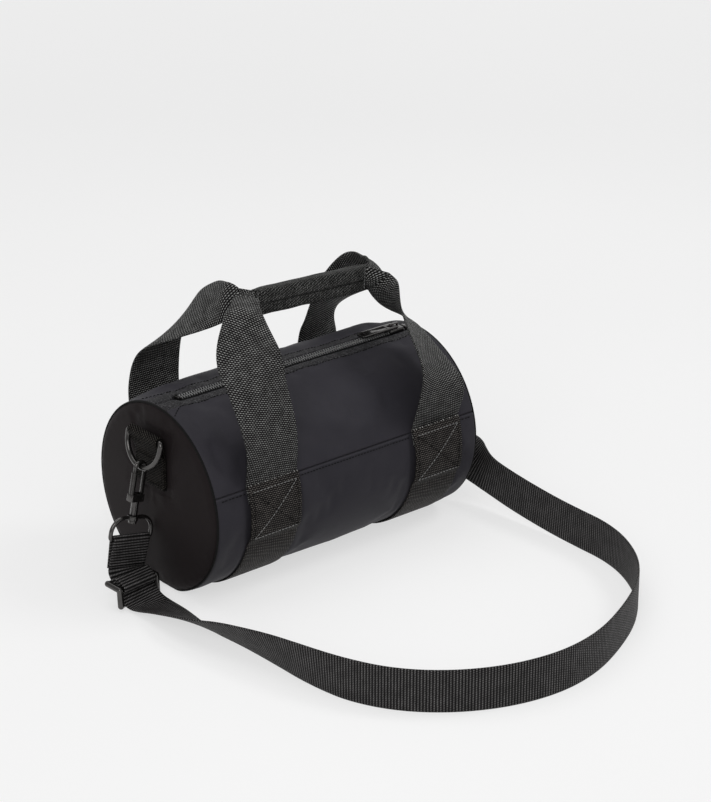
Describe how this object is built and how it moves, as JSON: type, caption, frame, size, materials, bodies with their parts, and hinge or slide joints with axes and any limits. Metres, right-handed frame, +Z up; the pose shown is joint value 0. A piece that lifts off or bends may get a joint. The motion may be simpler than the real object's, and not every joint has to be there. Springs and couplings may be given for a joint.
{
  "type": "barrel bag",
  "caption": "Small soft barrel bag with a zip along the top, webbing handles held by a grip, and a clip-on shoulder strap laid in front.",
  "frame": {"origin": "on the floor under the middle of the barrel", "axes": "+X along the barrel to the closed zip slider, +Y away from the front, +Z up"},
  "size_m": [0.3796, 0.4241, 0.2403],
  "materials": {
    "body_fabric": "matte smooth woven nylon",
    "end_fabric": "matte smooth woven nylon with a soft sheen",
    "piping": "rolled dark cord",
    "lining": "thin plain lining",
    "binding_tape": "ribbed tape",
    "foam": "closed-cell foam sheet",
    "zip_tape": "fine woven tape",
    "zip_coil": "glossy moulded coil",
    "handle_webbing": "coarse twill webbing",
    "grip_wrap": "stitched webbing wrap",
    "strap_webbing": "fine ribbed webbing",
    "hardware": "black nickel gloss"
  },
  "bodies": {
    "bag": {"base_panel": "body_fabric", "front_upper_panel": "body_fabric", "back_upper_panel": "body_fabric", "lining_sleeve": "lining", "zip_tape_front": "zip_tape", "zip_tape_back": "zip_tape", "zip_coil_front": "zip_coil", "zip_coil_back": "zip_coil", "zip_end_stops": "hardware", "front_handle_webbing": "handle_webbing", "back_handle_webbing": "handle_webbing", "strap_floor_run": "strap_webbing", "strap_left_twist": "strap_webbing", "strap_right_rise": "strap_webbing", "left_end_panel": "end_fabric", "left_end_foam": "foam", "left_end_lining": "lining", "left_seam_piping": "piping", "left_seam_binding": "binding_tape", "left_girth_webbing": "handle_webbing", "left_ring_tab": "handle_webbing", "right_end_panel": "end_fabric", "right_end_foam": "foam", "right_end_lining": "lining", "right_seam_piping": "piping", "right_seam_binding": "binding_tape", "right_girth_webbing": "handle_webbing", "right_ring_tab": "handle_webbing"},
    "grip": {"handle_grip": "grip_wrap"},
    "slider": {"zip_slider": "hardware"},
    "pull": {"zip_pull": "hardware"},
    "left_clip": {"left_d_ring": "hardware", "left_swivel_eye": "hardware", "left_strap_loop": "strap_webbing", "strap_left_drop": "strap_webbing", "strap_adjuster": "hardware", "strap_tail": "strap_webbing"},
    "right_clip": {"right_d_ring": "hardware", "right_swivel_eye": "hardware", "right_strap_loop": "strap_webbing", "strap_right_turn": "strap_webbing"},
    "left_hook": {"left_hook_body": "hardware", "left_gate_pin": "hardware", "left_gate_spring": "hardware"},
    "left_gate": {"left_hook_gate": "hardware"},
    "right_hook": {"right_hook_body": "hardware", "right_gate_pin": "hardware", "right_gate_spring": "hardware"},
    "right_gate": {"right_hook_gate": "hardware"}
  },
  "joints": [
    {"name": "handles_press_down", "type": "slide", "parent": "bag", "child": "grip", "axis": [0, 0, -1], "range_m": [0, 0.035], "stiffness_N_per_m": 40, "springref_m": -0.01, "deforming": ["front_handle_webbing", "back_handle_webbing"]},
    {"name": "zip_slide", "type": "slide", "parent": "bag", "child": "slider", "axis": [-1, 0, 0], "range_m": [0, 0.215]},
    {"name": "pull_flip", "type": "hinge", "parent": "slider", "child": "pull", "pos_m": [0.112, 0, 0.1629], "axis": [0, 1, 0], "range_deg": [0, 165]},
    {"name": "left_ring_swing", "type": "hinge", "parent": "bag", "child": "left_clip", "pos_m": [-0.14724, 0, 0.135], "axis": [0, 1, 0], "range_deg": [0, 60]},
    {"name": "left_hook_swivel", "type": "hinge", "parent": "left_clip", "child": "left_hook", "pos_m": [-0.1527, 0, 0.10932], "axis": [0.2079, 0, 0.9781], "range_deg": [-25, 25]},
    {"name": "left_gate_open", "type": "hinge", "parent": "left_hook", "child": "left_gate", "pos_m": [-0.15346, 0, 0.08316], "axis": [0, -1, 0], "range_deg": [0, 13], "stiffness_Nm_per_rad": 0.03, "springref_deg": -17.19},
    {"name": "right_ring_swing", "type": "hinge", "parent": "bag", "child": "right_clip", "pos_m": [0.14724, 0, 0.135], "axis": [0, -1, 0], "range_deg": [0, 60]},
    {"name": "right_hook_swivel", "type": "hinge", "parent": "right_clip", "child": "right_hook", "pos_m": [0.1527, 0, 0.10932], "axis": [-0.2079, 0, 0.9781], "range_deg": [-25, 25]},
    {"name": "right_gate_open", "type": "hinge", "parent": "right_hook", "child": "right_gate", "pos_m": [0.15346, 0, 0.08316], "axis": [0, 1, 0], "range_deg": [0, 13], "stiffness_Nm_per_rad": 0.03, "springref_deg": -17.19}
  ]
}
